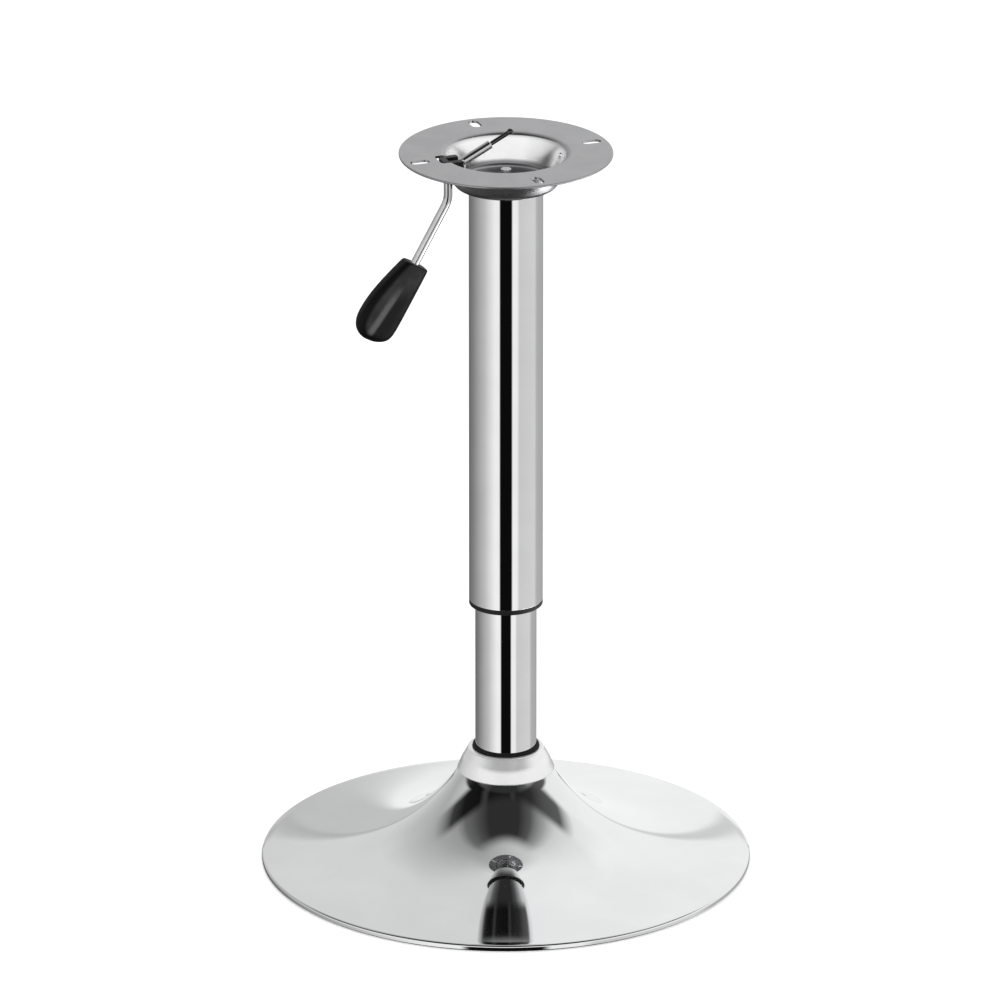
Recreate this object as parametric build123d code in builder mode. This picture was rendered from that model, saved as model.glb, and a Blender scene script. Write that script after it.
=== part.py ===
from build123d import *
import math
import os

os.makedirs("parts", exist_ok=True)

# A height-adjustable swivel base for a small table.
# The origin is on the column's axis at floor level, +Z points up, and the
# release lever points to -X. All lengths are in millimetres.

# Sizes.

# Pressed trumpet base.
base_radius = 200.0
base_sheet = 1.6
lip_clearance = 1.5  # floor to the bottom of the turned-down lip
lip_height = 1.9
lip_bend_radius = 2.5
flare_level = 3.6  # level that the flare would reach far out
flare_rise = 75.0  # rise from there to the collar's foot
flare_length = 46.0  # radius over which the flare falls by a factor of e
neck_radius = 30.4
neck_curve_top = 91.0
neck_top = 94.0

# Steel plate and rubber ring under the trumpet.
ballast_inset = 10.0  # rim to the edge of the ballast plate
ballast_thickness = 3.0
ballast_height = 1.4
ballast_bore_radius = 24.5
ring_inset = 14.0  # rim to the bore of the ring

# Die-cast collar and its seal.
collar_foot_radius = 39.0
collar_foot_wall = 0.9
collar_top_radius = 30.6
collar_top = 98.0
collar_bulge = 0.5
collar_round = 1.8
seal_wall = 2.3
seal_depth = 2.5
seal_stand = 2.4

# Stand tube, the outer tube of the gas lift.
stand_radius = 25.0
stand_wall = 2.0
stand_bottom = 18.0
stand_top = 402.0
taper_length = 50.0
taper_drop = 1.0

# Taper socket welded on the ballast plate.
socket_radius = 28.5
socket_top = 92.0
socket_flange_radius = 46.0
socket_flange_thickness = 4.0

# Bearing stack at the foot of the piston rod.
rod_radius = 5.0
rod_bottom = 8.0
end_plate_thickness = 4.0
race_radius = 13.0
race_thickness = 2.0
ball_radius = 2.0
ball_circle_radius = 9.0
ball_count = 8
cage_thickness = 1.6
bump_radius = 12.0
bump_length = 34.0
clip_thickness = 1.2
washer_thickness = 1.5
washer_radius = 11.0

# Gas cylinder and what runs inside it.
cylinder_radius = 14.0
cylinder_wall = 2.0
cylinder_taper_drop = 1.1
end_guide_length = 10.0
piston_length = 10.0
valve_block_length = 34.0
bush_length = 92.0
bush_flange_thickness = 3.0

# Travel of the height adjustment and the gap left at its lower end.
travel = 121.0
stop_gap = 2.0

# Shroud that covers the lift.
shroud_radius = 30.0
shroud_wall = 1.5
glide_lip = 4.0
glide_insert = 12.0
centring_length = 10.0

# Mounting plate with its bowl.
plate_top = 611.0
plate_radius = 86.0
plate_sheet = 2.0
bowl_mouth_radius = 49.4
bowl_floor_radius = 40.0
bowl_depth = 26.0
bowl_bend_radius = 4.0
plate_edge_round = 0.7
slot_circle_radius = 73.0
slot_length = 16.0
slot_width = 8.5
slot_count = 4
spare_hole_radius = 2.5
spare_hole_depth = 9.0
notch_end = 58.0
notch_depth = 18.0
notch_corner = 3.0

# Hub that takes the cylinder's taper.
hub_radius = 17.0
hub_stand = 3.0
hub_length = 44.0
hub_flange_radius = 24.0
hub_flange_thickness = 4.0
cylinder_stand = 4.0

# Valve button on top of the cylinder.
button_radius = 4.4
button_head = 2.8
button_stand = 8.0
button_stem_radius = 3.0
button_stem_length = 22.0
button_round = 0.6

# Release lever, in its own vertical plane. Reach is the distance from the
# column's axis towards -X, depth the distance below the plate's top face.
pivot_reach = 45.0
pivot_depth = 8.0
pin_radius = 2.0
arm_rise = 27.0  # degrees that the inner arm rises towards the axis
arm_length = 54.5
nose_length = 19.0
nose_radius = 1.8
tip_radius = 2.6
lever_radius = 3.5
knee_offset = 4.83
drop_reach = 49.3
drop_depth = 35.0
rod_fall = 60.5  # degrees that the outer rod falls
inner_bend = 10.0
outer_bend = 20.0

# Moulded handle on the end of the rod.
handle_start = 57.4
handle_length = 72.0
handle_socket = 30.0
handle_thickness = 18.0
handle_inner_side = 11.6
handle_top_side = 9.3
handle_belly = 24.2
handle_edge_round = 7.5

# Pivot bush and its retaining washer.
cheek_inner = 3.9
cheek_outer = 9.2
cheek_start = 39.5
cheek_end = 53.5
bush_top_gap = 0.6
bridge_length = 3.5
bridge_thickness = 2.2
bush_lip = 1.5
retainer_radius = 11.0
retainer_thickness = 1.5
retainer_slot_depth = 6.8

# Clearances.
seat_gap = 0.05
running_gap = 0.06
slide_gap = 0.3
loose_gap = 0.2

# Derived places.

lip_bend_start = lip_clearance + lip_height
ballast_radius = base_radius - ballast_inset
ballast_top = ballast_height + ballast_thickness
ring_inner_radius = base_radius - ring_inset
seal_seat = collar_top - seal_depth
collar_throat = stand_radius + slide_gap
stand_bore = stand_radius - stand_wall
end_plate_top = stand_bottom + end_plate_thickness
lower_race_top = end_plate_top + race_thickness
upper_race_bottom = lower_race_top + 2 * (ball_radius + seat_gap) - 1.0
upper_race_top = upper_race_bottom + race_thickness
bump_bottom = upper_race_top
bump_top = bump_bottom + bump_length
washer_top = stand_bottom - running_gap
clip_top = washer_top - washer_thickness
cylinder_bottom = bump_top + travel + stop_gap
cylinder_bore = cylinder_radius - cylinder_wall
guide_top = cylinder_bottom + end_guide_length
piston_bottom = guide_top + slide_gap
rod_top = piston_bottom + piston_length
bowl_floor = plate_top - bowl_depth
bowl_underside = bowl_floor - plate_sheet
hub_top = bowl_floor + hub_stand
hub_bottom = hub_top - hub_length
cylinder_top = bowl_floor + cylinder_stand
glide_bottom = collar_top + seal_stand + travel + stop_gap
shroud_bottom = glide_bottom + glide_lip
shroud_bore = shroud_radius - shroud_wall
hub_flange_bottom = bowl_underside - hub_flange_thickness
pivot_level = plate_top - pivot_depth
flare_outer_third = base_radius - (base_radius - neck_radius) * 0.45
flare_inner_third = base_radius - (base_radius - neck_radius) * 0.78


def flare_point(radius, inset=0.0):
    """Point of the trumpet's profile, moved into the sheet by an inset."""
    drop = flare_rise * math.exp((collar_foot_radius - radius) / flare_length)
    slope = drop / flare_length
    run = math.hypot(slope, 1.0)
    return (radius - inset * slope / run, flare_level + drop - inset / run)


def lever_point(reach, depth):
    """Point of the lever's plane as X and Z."""
    return (-reach, plate_top - depth)


# Base body.

# The trumpet is one sheet: a lip turned down at the rim, a long concave
# flare and a short upright neck that the collar hides.
with BuildPart() as base_shell:
    with BuildSketch(Plane.XZ):
        with BuildLine():
            lip = Line((base_radius, lip_clearance), (base_radius, lip_bend_start))
            bend = JernArc(lip @ 1, (0, 1), lip_bend_radius, 88)
            flare = Spline(
                bend @ 1,
                flare_point(flare_outer_third),
                flare_point(flare_inner_third),
                flare_point(collar_foot_radius),
                (neck_radius, neck_curve_top),
                tangents=[bend % 1, (0, 1)],
            )
            neck = Line(flare @ 1, (neck_radius, neck_top))
            neck_bore = neck_radius - base_sheet
            inner_neck = Polyline(neck @ 1, (neck_bore, neck_top), (neck_bore, neck_curve_top))
            lip_bore = base_radius - base_sheet
            inner_curl = JernArc(
                (lip_bore, lip_bend_start), (0, 1), lip_bend_radius - base_sheet, 88
            )
            Spline(
                inner_neck @ 1,
                flare_point(collar_foot_radius, base_sheet),
                flare_point(flare_inner_third, base_sheet),
                flare_point(flare_outer_third, base_sheet),
                inner_curl @ 1,
                tangents=[(0, -1), -(inner_curl % 1)],
            )
            Polyline(inner_curl @ 0, (lip_bore, lip_clearance), lip @ 0)
        make_face()
    revolve(axis=Axis.Z)
base_shell.part.label = "base_shell"
export_step(base_shell.part, "parts/base_shell.step")

# The ring's inner step carries the ballast plate's edge.
with BuildPart() as rim_ring:
    with BuildSketch(Plane.XZ):
        with BuildLine():
            Polyline(
                (ring_inner_radius, 0),
                (base_radius - base_sheet - loose_gap, 0),
                (base_radius - base_sheet - loose_gap, lip_bend_start),
                (ballast_radius + loose_gap, lip_bend_start),
                (ballast_radius + loose_gap, ballast_height),
                (ring_inner_radius, ballast_height),
                close=True,
            )
        make_face()
    revolve(axis=Axis.Z)
rim_ring.part.label = "rim_ring"
export_step(rim_ring.part, "parts/rim_ring.step")

with BuildPart() as ballast_plate:
    with BuildSketch(Plane.XY.offset(ballast_height)):
        Circle(ballast_radius)
        Circle(ballast_bore_radius, mode=Mode.SUBTRACT)
    extrude(amount=ballast_thickness)
ballast_plate.part.label = "ballast_plate"
export_step(ballast_plate.part, "parts/ballast_plate.step")

with BuildPart() as taper_socket:
    with BuildSketch(Plane.XZ):
        with BuildLine():
            bore = stand_radius + seat_gap
            Polyline(
                (bore - taper_drop, ballast_top),
                (socket_flange_radius, ballast_top),
                (socket_flange_radius, ballast_top + socket_flange_thickness),
                (socket_radius, ballast_top + socket_flange_thickness),
                (socket_radius, socket_top),
                (bore, socket_top),
                (bore, stand_bottom + taper_length),
                (bore - taper_drop, stand_bottom),
                close=True,
            )
        make_face()
    revolve(axis=Axis.Z)
taper_socket.part.label = "taper_socket"
export_step(taper_socket.part, "parts/taper_socket.step")

# The collar stands on the flare with a thin foot and carries the seal in
# a recess round its throat.
with BuildPart() as base_collar:
    with BuildSketch(Plane.XZ) as collar_section:
        with BuildLine():
            foot_level = flare_point(collar_foot_radius)[1] + loose_gap
            foot_edge = collar_foot_radius + collar_foot_wall
            crown = (collar_top_radius, collar_top)
            middle = (
                (foot_edge + collar_top_radius) / 2 + collar_bulge,
                (foot_level + collar_top) / 2 + collar_bulge,
            )
            ThreePointArc((foot_edge, foot_level), middle, crown)
            Polyline(
                crown,
                (stand_radius + seal_wall, collar_top),
                (stand_radius + seal_wall, seal_seat),
                (collar_throat, seal_seat),
                (collar_throat, neck_top),
                (neck_radius + 1.0, neck_top),
                (collar_foot_radius, foot_level),
                (foot_edge, foot_level),
            )
        make_face()
        fillet(collar_section.vertices().sort_by_distance(crown)[0], collar_round)
    revolve(axis=Axis.Z)
base_collar.part.label = "base_collar"
export_step(base_collar.part, "parts/base_collar.step")

with BuildPart() as collar_seal:
    with BuildSketch(Plane.XY.offset(seal_seat)):
        Circle(stand_radius + seal_wall - seat_gap)
        Circle(stand_radius + seat_gap, mode=Mode.SUBTRACT)
    extrude(amount=seal_depth + seal_stand)
    fillet(collar_seal.edges().group_by(Axis.Z)[-1].sort_by(SortBy.RADIUS)[-1], seal_stand * 0.6)
collar_seal.part.label = "collar_seal"
export_step(collar_seal.part, "parts/collar_seal.step")

with BuildPart() as stand_tube:
    with BuildSketch(Plane.XZ):
        with BuildLine():
            Polyline(
                (stand_bore - taper_drop, stand_bottom),
                (stand_radius - taper_drop, stand_bottom),
                (stand_radius, stand_bottom + taper_length),
                (stand_radius, stand_top),
                (stand_bore, stand_top),
                (stand_bore, stand_bottom + taper_length),
                (stand_bore - taper_drop, stand_bottom + taper_length),
                close=True,
            )
        make_face()
    revolve(axis=Axis.Z)
stand_tube.part.label = "stand_tube"
export_step(stand_tube.part, "parts/stand_tube.step")

# Disc that closes the tube's foot and carries the thrust bearing.
with BuildPart() as tube_end_plate:
    with BuildSketch(Plane.XY.offset(stand_bottom)):
        Circle(stand_bore - taper_drop - seat_gap)
        Circle(rod_radius + running_gap, mode=Mode.SUBTRACT)
    extrude(amount=end_plate_thickness)
tube_end_plate.part.label = "tube_end_plate"
export_step(tube_end_plate.part, "parts/tube_end_plate.step")

# Each race has a shallow groove for the balls.
groove_radius = ball_radius + seat_gap
with BuildPart() as lower_race:
    with BuildSketch(Plane.XY.offset(end_plate_top)):
        Circle(race_radius)
        Circle(rod_radius + slide_gap, mode=Mode.SUBTRACT)
    extrude(amount=race_thickness)
    with BuildSketch(Plane.XZ):
        with Locations((ball_circle_radius, lower_race_top + groove_radius - 0.5)):
            Circle(groove_radius)
    revolve(axis=Axis.Z, mode=Mode.SUBTRACT)
lower_race.part.label = "lower_race"
export_step(lower_race.part, "parts/lower_race.step")

# Plastic bush that guides the cylinder in the top of the stand tube.
with BuildPart() as guide_bush:
    with BuildSketch(Plane.XZ):
        with BuildLine():
            Polyline(
                (cylinder_radius + running_gap, stand_top - bush_length),
                (stand_bore - seat_gap, stand_top - bush_length),
                (stand_bore - seat_gap, stand_top),
                (stand_radius - seat_gap, stand_top),
                (stand_radius - seat_gap, stand_top + bush_flange_thickness),
                (cylinder_radius + running_gap, stand_top + bush_flange_thickness),
                close=True,
            )
        make_face()
    revolve(axis=Axis.Z)
guide_bush.part.label = "guide_bush"
export_step(guide_bush.part, "parts/guide_bush.step")

# Thrust bearing.

ball_level = lower_race_top + groove_radius - 0.5
with BuildPart() as ball_cage:
    with BuildSketch(Plane.XY.offset(ball_level - cage_thickness / 2)):
        Circle(race_radius - 0.5)
        Circle(rod_radius + slide_gap, mode=Mode.SUBTRACT)
        with PolarLocations(ball_circle_radius, ball_count):
            Circle(ball_radius + seat_gap, mode=Mode.SUBTRACT)
    extrude(amount=cage_thickness)
ball_cage.part.label = "ball_cage"
export_step(ball_cage.part, "parts/ball_cage.step")

with BuildPart() as bearing_balls:
    with Locations(Plane.XY.offset(ball_level)):
        with PolarLocations(ball_circle_radius, ball_count):
            Sphere(ball_radius)
bearing_balls.part.label = "bearing_balls"
export_step(bearing_balls.part, "parts/bearing_balls.step")

# Spindle body.

with BuildPart() as upper_race:
    with BuildSketch(Plane.XY.offset(upper_race_bottom)):
        Circle(race_radius)
        Circle(rod_radius + seat_gap, mode=Mode.SUBTRACT)
    extrude(amount=race_thickness)
    with BuildSketch(Plane.XZ):
        with Locations((ball_circle_radius, ball_level)):
            Circle(groove_radius)
    revolve(axis=Axis.Z, mode=Mode.SUBTRACT)
upper_race.part.label = "upper_race"
export_step(upper_race.part, "parts/upper_race.step")

# Rod with a turned groove for the clip that holds it in the tube's foot.
clip_groove_radius = rod_radius - 1.0
with BuildPart() as piston_rod:
    with BuildSketch(Plane.XY.offset(rod_bottom)):
        Circle(rod_radius)
    extrude(amount=rod_top - rod_bottom)
    with BuildSketch(Plane.XY.offset(clip_top - clip_thickness)):
        Circle(rod_radius + 1)
        Circle(clip_groove_radius, mode=Mode.SUBTRACT)
    extrude(amount=clip_thickness, mode=Mode.SUBTRACT)
    chamfer(piston_rod.edges().group_by(Axis.Z)[0], 0.8)
piston_rod.part.label = "piston_rod"
export_step(piston_rod.part, "parts/piston_rod.step")

with BuildPart() as rod_washer:
    with BuildSketch(Plane.XY.offset(clip_top)):
        Circle(washer_radius)
        Circle(rod_radius + seat_gap, mode=Mode.SUBTRACT)
    extrude(amount=washer_thickness)
rod_washer.part.label = "rod_washer"
export_step(rod_washer.part, "parts/rod_washer.step")

# Spring clip: an open ring that snaps into the rod's groove.
with BuildPart() as rod_clip:
    with BuildSketch(Plane.XY.offset(clip_top - clip_thickness)):
        Circle(rod_radius + 3)
        Circle(clip_groove_radius + seat_gap, mode=Mode.SUBTRACT)
        with Locations((rod_radius, 0)):
            Rectangle(2 * rod_radius, clip_groove_radius * 1.3, mode=Mode.SUBTRACT)
    extrude(amount=clip_thickness)
rod_clip.part.label = "rod_clip"
export_step(rod_clip.part, "parts/rod_clip.step")

# Rubber bump stop, waisted by two grooves.
with BuildPart() as bump_stop:
    with BuildSketch(Plane.XY.offset(bump_bottom)):
        Circle(bump_radius)
        Circle(rod_radius + seat_gap, mode=Mode.SUBTRACT)
    extrude(amount=bump_length)
    with BuildSketch(Plane.XZ):
        for share in (0.33, 0.67):
            with Locations((bump_radius, bump_bottom + bump_length * share)):
                Circle(2.5)
    revolve(axis=Axis.Z, mode=Mode.SUBTRACT)
bump_stop.part.label = "bump_stop"
export_step(bump_stop.part, "parts/bump_stop.step")

with BuildPart() as piston:
    with BuildSketch(Plane.XY.offset(piston_bottom)):
        Circle(cylinder_bore - running_gap)
    extrude(amount=piston_length)
    with BuildSketch(Plane.XY.offset(piston_bottom)):
        Circle(rod_radius + seat_gap)
    extrude(amount=piston_length, mode=Mode.SUBTRACT)
piston.part.label = "piston"
export_step(piston.part, "parts/piston.step")

# Column body.

# The cylinder is closed at the top by the valve block, whose bore takes
# the button's stem. Its head tapers where it sits in the hub.
stem_bore_radius = button_stem_radius + running_gap
with BuildPart() as gas_cylinder:
    with BuildSketch(Plane.XZ):
        with BuildLine():
            Polyline(
                (stem_bore_radius, cylinder_top),
                (cylinder_radius - cylinder_taper_drop, cylinder_top),
                (cylinder_radius, hub_bottom),
                (cylinder_radius, cylinder_bottom),
                (cylinder_bore, cylinder_bottom),
                (cylinder_bore, cylinder_top - valve_block_length),
                (stem_bore_radius, cylinder_top - valve_block_length),
                close=True,
            )
        make_face()
    revolve(axis=Axis.Z)
gas_cylinder.part.label = "gas_cylinder"
export_step(gas_cylinder.part, "parts/gas_cylinder.step")

with BuildPart() as end_guide:
    with BuildSketch(Plane.XY.offset(cylinder_bottom)):
        Circle(cylinder_bore - seat_gap)
        Circle(rod_radius + running_gap, mode=Mode.SUBTRACT)
    extrude(amount=end_guide_length)
end_guide.part.label = "end_guide"
export_step(end_guide.part, "parts/end_guide.step")

with BuildPart() as taper_hub:
    with BuildSketch(Plane.XZ):
        with BuildLine():
            taper_rate = cylinder_taper_drop / (cylinder_top - hub_bottom)
            bore_at_top = cylinder_radius - taper_rate * (hub_top - hub_bottom) + seat_gap
            Polyline(
                (cylinder_radius + seat_gap, hub_bottom),
                (hub_radius, hub_bottom),
                (hub_radius, hub_flange_bottom),
                (hub_flange_radius, hub_flange_bottom),
                (hub_flange_radius, bowl_underside),
                (hub_radius, bowl_underside),
                (hub_radius, hub_top),
                (bore_at_top, hub_top),
                close=True,
            )
        make_face()
    revolve(axis=Axis.Z)
taper_hub.part.label = "taper_hub"
export_step(taper_hub.part, "parts/taper_hub.step")

# The plate is one pressing: flange, bowl wall and bowl floor of one sheet,
# then pierced by the slots, the hub's hole, the spare hole and the notch
# that the lever passes through.
with BuildPart() as mounting_plate:
    with BuildSketch(Plane.XZ):
        with BuildLine():
            FilletPolyline(
                (plate_radius, plate_top),
                (bowl_mouth_radius, plate_top),
                (bowl_floor_radius, bowl_floor),
                (hub_radius + seat_gap, bowl_floor),
                radius=bowl_bend_radius,
            )
            offset(amount=plate_sheet, side=Side.LEFT)
        make_face()
    revolve(axis=Axis.Z)
    rim_edges = mounting_plate.edges().filter_by(GeomType.CIRCLE).group_by(SortBy.RADIUS)[-1]
    fillet(rim_edges, plate_edge_round)
    with BuildSketch(Plane.XY.offset(plate_top)):
        with PolarLocations(slot_circle_radius, slot_count):
            SlotOverall(slot_length, slot_width)
    extrude(amount=-2 * plate_sheet, mode=Mode.SUBTRACT)
    with BuildSketch(Plane.YZ.offset(bowl_floor_radius)):
        with Locations((0, plate_top - spare_hole_depth)):
            Circle(spare_hole_radius)
    extrude(amount=bowl_mouth_radius - bowl_floor_radius + plate_sheet, mode=Mode.SUBTRACT)
    notch_width = 2 * (cheek_outer + loose_gap)
    with BuildSketch(Plane.XY.offset(plate_top)) as notch:
        with Locations((-(notch_end + bowl_floor_radius) / 2, 0)):
            Rectangle(notch_end - bowl_floor_radius, notch_width)
        fillet(notch.vertices().group_by(Axis.X)[0], notch_corner)
    extrude(amount=-notch_depth, mode=Mode.SUBTRACT)
mounting_plate.part.label = "mounting_plate"
export_step(mounting_plate.part, "parts/mounting_plate.step")

with BuildPart() as shroud_tube:
    with BuildSketch(Plane.XY.offset(shroud_bottom)):
        Circle(shroud_radius)
        Circle(shroud_bore, mode=Mode.SUBTRACT)
    extrude(amount=bowl_underside - shroud_bottom)
shroud_tube.part.label = "shroud_tube"
export_step(shroud_tube.part, "parts/shroud_tube.step")

# Glide ring: a lip under the shroud's edge and a sleeve inside it.
with BuildPart() as glide_ring:
    with BuildSketch(Plane.XZ):
        with BuildLine():
            Polyline(
                (stand_radius + slide_gap, glide_bottom),
                (shroud_radius - 0.5, glide_bottom),
                (shroud_radius, glide_bottom + 0.5),
                (shroud_radius, shroud_bottom),
                (shroud_bore - seat_gap, shroud_bottom),
                (shroud_bore - seat_gap, shroud_bottom + glide_insert),
                (stand_radius + slide_gap, shroud_bottom + glide_insert),
                close=True,
            )
        make_face()
    revolve(axis=Axis.Z)
glide_ring.part.label = "glide_ring"
export_step(glide_ring.part, "parts/glide_ring.step")

# Spacer that keeps the shroud concentric with the hub.
with BuildPart() as centring_ring:
    with BuildSketch(Plane.XY.offset(hub_flange_bottom - centring_length)):
        Circle(shroud_bore - seat_gap)
        Circle(hub_radius + seat_gap, mode=Mode.SUBTRACT)
    extrude(amount=centring_length)
centring_ring.part.label = "centring_ring"
export_step(centring_ring.part, "parts/centring_ring.step")

# The pivot bush straddles the rod with two cheeks that fill the notch's
# sides, a bridge over the rod on the outside and a lip behind the wall.
with BuildPart() as pivot_bush:
    cheek_bottom = plate_top - notch_depth
    cheek_height = notch_depth - bush_top_gap
    cheek_mid_side = (cheek_inner + cheek_outer) / 2
    with BuildSketch(Plane.XY.offset(cheek_bottom)):
        with Locations(
            (-(cheek_start + cheek_end) / 2, cheek_mid_side),
            (-(cheek_start + cheek_end) / 2, -cheek_mid_side),
        ):
            Rectangle(cheek_end - cheek_start, cheek_outer - cheek_inner)
        lip_side = cheek_outer - loose_gap - notch_corner
        with Locations((-cheek_end - bush_lip / 2, 0)):
            Rectangle(bush_lip, 2 * lip_side)
            Rectangle(bush_lip, 2 * cheek_inner, mode=Mode.SUBTRACT)
    extrude(amount=cheek_height)
    with BuildSketch(Plane.XY.offset(plate_top - bush_top_gap)):
        with Locations((-cheek_end - bush_lip + (bridge_length + bush_lip) / 2, 0)):
            Rectangle(bridge_length + bush_lip, 2 * cheek_inner + 1)
    extrude(amount=-bridge_thickness)
    with BuildSketch(Plane.XZ.offset(-cheek_outer - 1)):
        with Locations(lever_point(pivot_reach, pivot_depth)):
            Circle(pin_radius + 0.02)
    extrude(amount=2 * (cheek_outer + 1), mode=Mode.SUBTRACT)
pivot_bush.part.label = "pivot_bush"
export_step(pivot_bush.part, "parts/pivot_bush.step")

# Horseshoe washer that clips over the bush's inner end.
with BuildPart() as retaining_washer:
    with BuildSketch(Plane.YZ.offset(-cheek_start)):
        with Locations((0, pivot_level)):
            Circle(retainer_radius)
        with Locations((0, plate_top + retainer_radius - bush_top_gap)):
            Rectangle(2 * retainer_radius, 2 * retainer_radius, mode=Mode.SUBTRACT)
        slot_floor = pivot_level - retainer_slot_depth
        with Locations((0, (slot_floor + plate_top) / 2)):
            Rectangle(2 * (cheek_inner + loose_gap), plate_top - slot_floor, mode=Mode.SUBTRACT)
    extrude(amount=retainer_thickness)
retaining_washer.part.label = "retaining_washer"
export_step(retaining_washer.part, "parts/retaining_washer.step")

with BuildPart() as pivot_pin:
    with BuildSketch(Plane.XZ.offset(-cheek_outer)):
        with Locations(lever_point(pivot_reach, pivot_depth)):
            Circle(pin_radius)
    extrude(amount=2 * cheek_outer)
pivot_pin.part.label = "pivot_pin"
export_step(pivot_pin.part, "parts/pivot_pin.step")

# Button body.

with BuildPart() as release_button:
    button_top = cylinder_top + button_stand
    with BuildSketch(Plane.XY.offset(button_top - button_head)):
        Circle(button_radius)
    extrude(amount=button_head)
    fillet(release_button.edges().group_by(Axis.Z)[-1], button_round)
    with BuildSketch(Plane.XY.offset(button_top - button_head)):
        Circle(button_stem_radius)
    extrude(amount=-button_stem_length)
release_button.part.label = "release_button"
export_step(release_button.part, "parts/release_button.step")

# Lever body.

# The rod is one bent bar: the inner arm rises to the axis, then the bar
# passes the pivot, drops beside the bowl and falls away to the handle.
arm_angle = math.radians(arm_rise)
fall_angle = math.radians(rod_fall)
nose_reach = pivot_reach - (arm_length - nose_length) * math.cos(arm_angle)
nose_depth = pivot_depth - (arm_length - nose_length) * math.sin(arm_angle)
knee_reach = pivot_reach + knee_offset * math.cos(arm_angle)
knee_depth = pivot_depth + knee_offset * math.sin(arm_angle)
rod_run = handle_start + handle_socket
end_reach = drop_reach + rod_run * math.cos(fall_angle)
end_depth = drop_depth + rod_run * math.sin(fall_angle)

with BuildPart() as lever_rod:
    with BuildLine(Plane.XZ) as rod_path:
        FilletPolyline(
            lever_point(nose_reach, nose_depth),
            lever_point(knee_reach, knee_depth),
            lever_point(drop_reach, drop_depth),
            lever_point(end_reach, end_depth),
            radius=[inner_bend, outer_bend],
        )
    with BuildSketch(Plane(origin=rod_path.line @ 0, z_dir=rod_path.line % 0)):
        Circle(lever_radius)
    sweep(path=rod_path.line)
    with BuildSketch(Plane(origin=rod_path.line @ 0, z_dir=-(rod_path.line % 0))):
        Circle(nose_radius)
    extrude(amount=nose_length)
    with Locations((rod_path.line @ 0) - (rod_path.line % 0) * nose_length):
        Sphere(tip_radius)
    with BuildSketch(Plane.XZ.offset(-2 * lever_radius)):
        with Locations(lever_point(pivot_reach, pivot_depth)):
            Circle(pin_radius + running_gap)
    extrude(amount=4 * lever_radius, mode=Mode.SUBTRACT)
lever_rod.part.label = "lever_rod"
export_step(lever_rod.part, "parts/lever_rod.step")

# The handle is a moulded paddle: straight along its inner side, bellied on
# the outer side and rounded all round, with a blind socket for the rod.
handle_x = drop_reach + handle_start * math.cos(fall_angle)
handle_z = drop_depth + handle_start * math.sin(fall_angle)
handle_origin = (-handle_x, 0, plate_top - handle_z)
handle_axis = (-math.cos(fall_angle), 0, -math.sin(fall_angle))
handle_plane = Plane(origin=handle_origin, x_dir=handle_axis, z_dir=(0, -1, 0))
with BuildPart() as lever_handle:
    with BuildSketch(handle_plane):
        with BuildLine():
            belly = Spline(
                (0, -handle_top_side),
                (handle_length * 0.36, -handle_belly * 0.74),
                (handle_length * 0.74, -handle_belly),
                (handle_length, -handle_belly * 0.3),
                (handle_length * 0.84, handle_inner_side),
                tangents=[(1, -0.35), (-1, 0)],
            )
            Polyline(belly @ 1, (0, handle_inner_side), (0, -handle_top_side))
        make_face()
    extrude(amount=handle_thickness / 2, both=True)
    long_edges = lever_handle.faces().filter_by(Axis.Y).edges().filter_by(
        lambda edge: abs(edge.length - handle_top_side - handle_inner_side) > 0.5
    )
    fillet(long_edges, handle_edge_round)
    with BuildSketch(Plane(origin=handle_origin, z_dir=handle_axis)):
        Circle(lever_radius + seat_gap)
    extrude(amount=handle_socket, mode=Mode.SUBTRACT)
lever_handle.part.label = "lever_handle"
export_step(lever_handle.part, "parts/lever_handle.step")
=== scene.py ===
import bpy
import math
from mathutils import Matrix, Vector


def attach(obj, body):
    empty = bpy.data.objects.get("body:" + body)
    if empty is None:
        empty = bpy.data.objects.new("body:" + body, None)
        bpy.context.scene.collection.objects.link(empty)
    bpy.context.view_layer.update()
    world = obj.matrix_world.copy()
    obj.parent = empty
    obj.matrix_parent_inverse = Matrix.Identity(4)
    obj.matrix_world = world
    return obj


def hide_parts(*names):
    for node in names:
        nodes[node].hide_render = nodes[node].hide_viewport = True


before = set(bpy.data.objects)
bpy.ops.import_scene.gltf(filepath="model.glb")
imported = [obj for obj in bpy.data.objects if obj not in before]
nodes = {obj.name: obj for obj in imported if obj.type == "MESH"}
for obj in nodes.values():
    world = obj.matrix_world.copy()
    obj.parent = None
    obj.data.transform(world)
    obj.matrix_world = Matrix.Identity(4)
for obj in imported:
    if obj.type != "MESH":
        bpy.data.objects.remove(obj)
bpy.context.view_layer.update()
print("frame loaded:", len(nodes), "CAD nodes")

mm = 0.001


# Shader maths: a wire is one output socket, and an expression on wires adds the nodes for it.
class Wire:
    def __init__(self, graph, socket):
        self.graph = graph
        self.socket = socket

    def maths(self, operation, *others):
        return self.graph.node("ShaderNodeMath", {"operation": operation}, dict(enumerate((self,) + others)))

    def __add__(self, other):
        return self.maths("ADD", other)

    def __sub__(self, other):
        return self.maths("SUBTRACT", other)

    def __mul__(self, other):
        return self.maths("MULTIPLY", other)

    def __rsub__(self, other):
        return self.graph.node("ShaderNodeMath", {"operation": "SUBTRACT"}, {0: other, 1: self})

    __radd__ = __add__

    def reach(self, low, high, start=0.0, end=1.0):  # smooth step from one level to the other
        ranges = {0: self, 1: low, 2: high, 3: start, 4: end}
        return self.graph.node("ShaderNodeMapRange", {"interpolation_type": "SMOOTHSTEP"}, ranges)


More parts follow.
